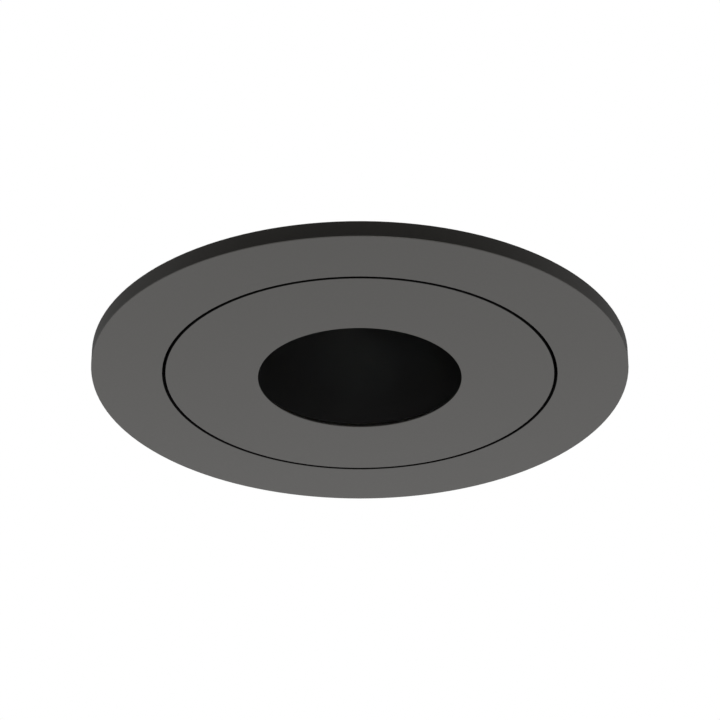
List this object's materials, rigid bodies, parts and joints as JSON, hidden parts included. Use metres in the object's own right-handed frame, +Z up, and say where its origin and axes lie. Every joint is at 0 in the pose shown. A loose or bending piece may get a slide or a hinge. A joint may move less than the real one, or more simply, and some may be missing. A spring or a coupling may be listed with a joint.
{
  "type": "soffit downlight",
  "caption": "Round recessed downlight: flat trim flange, tilting and turning pinhole lamp with finned heat sink, sprung clips for the cut-out.",
  "frame": {"origin": "centre of the flange gasket's upper face, the plane that lies against the soffit", "axes": "+Z up into the soffit, along the lamp; +X towards the right-hand spring clip and along the tilt axis; -Y towards the picture's camera"},
  "size_m": [0.146, 0.1, 0.0944],
  "materials": {
    "black_powder_coat": "satin black polyester powder coat, fine texture",
    "black_anodised": "matt black anodised aluminium",
    "black_rubber": "matt EPDM rubber",
    "spring_steel": "rolled stainless spring steel",
    "zinc_plate": "bright zinc plated steel",
    "stainless": "turned stainless steel",
    "natural_nylon": "natural nylon",
    "silicone": "translucent silicone",
    "frosted_glass": "frosted tempered glass",
    "bright_reflector": "vacuum metallised polycarbonate",
    "white_plastic": "moulded white PBT",
    "ceramic": "white ceramic board",
    "phosphor": "yellow silicone phosphor",
    "graphite": "graphite sheet",
    "die_cast_aluminium": "clear anodised aluminium",
    "black_polyamide": "moulded glass-filled polyamide",
    "circuit_board": "green solder resist on epoxy glass",
    "winding_tape": "polyester tape over a ferrite core",
    "capacitor_sleeve": "shrunk vinyl sleeve",
    "ferrite": "sintered ferrite",
    "terminal_plastic": "grey polyamide",
    "lead_insulation": "silicone lead insulation"
  },
  "bodies": {
    "trim": {"trim_flange": "black_powder_coat", "collar": "black_powder_coat", "collar_screws": "stainless", "flange_gasket": "black_rubber", "retaining_ring": "spring_steel", "pan_stop_pin": "stainless", "clip_bracket_left": "zinc_plate", "clip_bracket_right": "zinc_plate", "bracket_rivets": "stainless", "clip_pin_left": "stainless", "clip_pin_right": "stainless", "torsion_spring_left": "spring_steel", "torsion_spring_right": "spring_steel"},
    "clip_left": {"clip_blade_left": "spring_steel", "clip_sleeve_left": "black_rubber"},
    "clip_right": {"clip_blade_right": "spring_steel", "clip_sleeve_right": "black_rubber"},
    "carrier": {"carrier_ring": "black_anodised", "friction_ring": "black_rubber", "pivot_screws": "stainless", "pivot_washers": "natural_nylon", "tilt_lock_screw": "stainless"},
    "lamp": {"insert_plate": "black_powder_coat", "baffle_barrel": "black_anodised", "cap_gasket": "black_rubber", "gland_gasket": "black_rubber", "gland_seal": "black_rubber", "barrel_screws": "stainless", "holder_screws": "stainless", "sink_screws": "stainless", "cap_screws": "stainless", "board_screws": "stainless", "terminal_screws": "stainless", "board_standoffs": "natural_nylon", "lens_gasket": "silicone", "lens": "frosted_glass", "reflector": "bright_reflector", "led_holder": "white_plastic", "led_board": "ceramic", "led_phosphor": "phosphor", "thermal_pad": "graphite", "heat_sink": "die_cast_aluminium", "rear_cap": "black_polyamide", "gland_body": "black_polyamide", "gland_locknut": "black_polyamide", "gland_nut": "black_polyamide", "driver_board": "circuit_board", "driver_transformer": "winding_tape", "driver_capacitor": "capacitor_sleeve", "driver_choke": "ferrite", "terminal_block": "terminal_plastic", "led_leads": "lead_insulation"}
  },
  "joints": [
    {"name": "pan", "type": "hinge", "parent": "trim", "child": "carrier", "pos_m": [0, 0, 0], "axis": [0, 0, 1], "range_deg": [-175, 175]},
    {"name": "tilt", "type": "hinge", "parent": "carrier", "child": "lamp", "pos_m": [0, 0, 0.0005], "axis": [-1, 0, 0], "range_deg": [0, 30]},
    {"name": "clip_left", "type": "hinge", "parent": "trim", "child": "clip_left", "pos_m": [-0.04295, 0, 0.0115], "axis": [0, 1, 0], "range_deg": [0, 97], "stiffness_Nm_per_rad": 0.08, "springref_deg": -57.3, "deforming": ["torsion_spring_left"]},
    {"name": "clip_right", "type": "hinge", "parent": "trim", "child": "clip_right", "pos_m": [0.04295, 0, 0.0115], "axis": [0, -1, 0], "range_deg": [0, 97], "stiffness_Nm_per_rad": 0.08, "springref_deg": -57.3, "deforming": ["torsion_spring_right"]}
  ]
}
